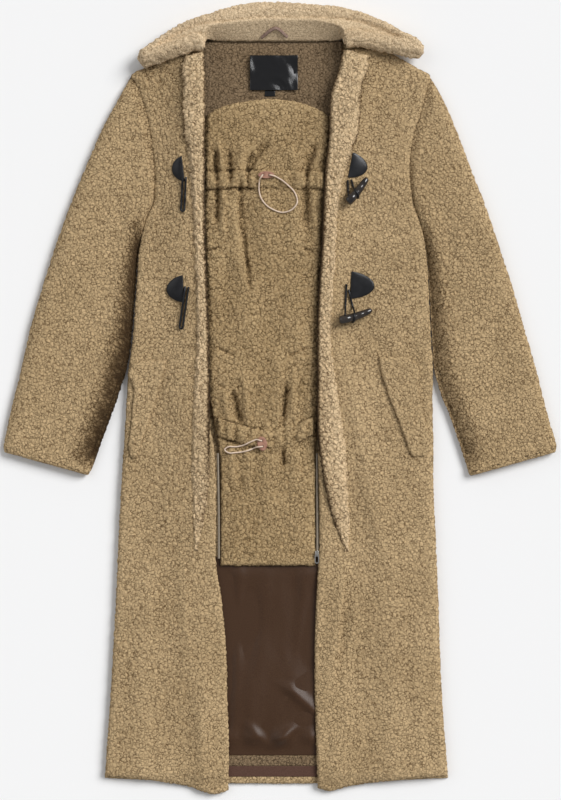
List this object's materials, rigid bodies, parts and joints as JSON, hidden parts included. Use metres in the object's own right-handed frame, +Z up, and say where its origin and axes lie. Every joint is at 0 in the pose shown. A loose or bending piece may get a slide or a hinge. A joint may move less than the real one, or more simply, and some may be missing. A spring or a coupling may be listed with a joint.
{
  "type": "maternity coat",
  "caption": "Long curly-pile maternity coat laid flat and open, with toggles and loops, a zipped insert with draw cords, welt pockets, wide sleeves and a broad turned-down collar.",
  "frame": {"origin": "middle of the coat's box in plan, on the surface that it lies on", "axes": "+X to the right as one looks down on the coat, +Y from hem to collar, +Z up"},
  "size_m": [0.855, 1.2244, 0.0427],
  "materials": {
    "teddy": "curly camel pile",
    "lining_satin": "dark brown satin",
    "label_satin": "black satin",
    "black_leather": "black grained",
    "horn": "polished dark horn",
    "elastic": "cream round elastic",
    "stop_leather": "rose brown",
    "tape": "rosewood brown binding",
    "zip_tape": "woven tape and teeth",
    "zip_metal": "satin metal"
  },
  "bodies": {
    "coat": {"back": "teddy", "neck_facing": "teddy", "hem_band": "teddy", "insert": "teddy", "channel_upper": "teddy", "channel_lower": "teddy", "front_left": "teddy", "front_right": "teddy", "facing_left": "teddy", "facing_right": "teddy", "sleeve_left": "teddy", "sleeve_right": "teddy", "pocket_left": "teddy", "pocket_right": "teddy", "collar": "teddy", "lining": "lining_satin", "label": "label_satin", "size_tab": "label_satin", "patch_upper_left": "black_leather", "patch_upper_right": "black_leather", "patch_lower_left": "black_leather", "patch_lower_right": "black_leather", "loop_upper": "black_leather", "loop_lower": "black_leather", "toggle_cord_upper": "black_leather", "toggle_cord_lower": "black_leather", "toggle_upper": "horn", "toggle_lower": "horn", "draw_cord_upper": "elastic", "draw_cord_lower": "elastic", "stop_upper": "stop_leather", "stop_lower": "stop_leather", "hem_tape": "tape", "hanger_loop": "tape", "zip_left": "zip_tape", "zip_right": "zip_tape", "zip_slider": "zip_metal"},
    "pull": {"zip_pull": "zip_metal"}
  },
  "joints": [
    {"name": "pull_flip", "type": "hinge", "parent": "coat", "child": "pull", "pos_m": [0.057, -0.2405, 0.02026], "axis": [-1, 0, 0], "range_deg": [0, 180]}
  ]
}
